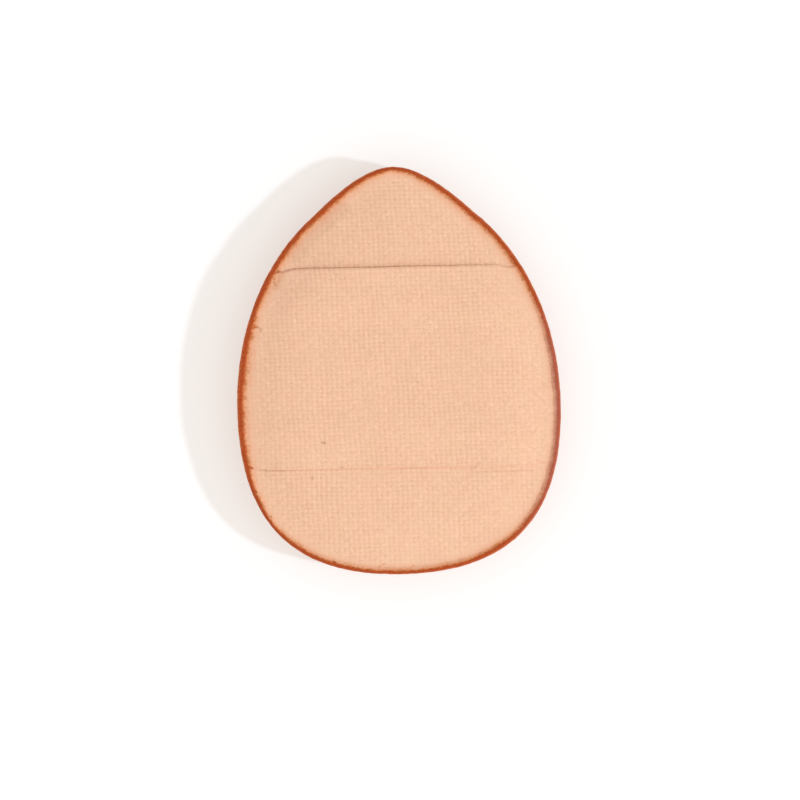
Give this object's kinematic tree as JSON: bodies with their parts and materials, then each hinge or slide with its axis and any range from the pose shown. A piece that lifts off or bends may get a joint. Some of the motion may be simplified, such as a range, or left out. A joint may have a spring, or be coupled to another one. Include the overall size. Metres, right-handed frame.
{
  "type": "finger puff",
  "caption": "Teardrop finger puff: a soft foam pad in a cup of microcell skin, with a woven back lining and a wide finger band caught in the fused edge.",
  "frame": {"origin": "on the flat applicator face, in the middle of the puff's length and width", "axes": "+Y towards the narrow tip, +Z out of the finger side, +X across the puff"},
  "size_m": [0.0422, 0.053, 0.008],
  "materials": {
    "skin": "matte",
    "foam": "matte",
    "film": "satin",
    "lining_cloth": "matte",
    "band_cloth": "matte",
    "weld": "satin"
  },
  "bodies": {
    "puff": {"applicator_skin": "skin", "foam_core": "foam", "barrier_film": "film", "back_lining": "lining_cloth", "edge_weld": "weld"},
    "band": {"finger_band": "band_cloth"}
  },
  "joints": [
    {"name": "finger_band_lift", "type": "slide", "parent": "puff", "child": "band", "axis": [0, 0, 1], "range_m": [0, 0.008], "stiffness_N_per_m": 5}
  ]
}
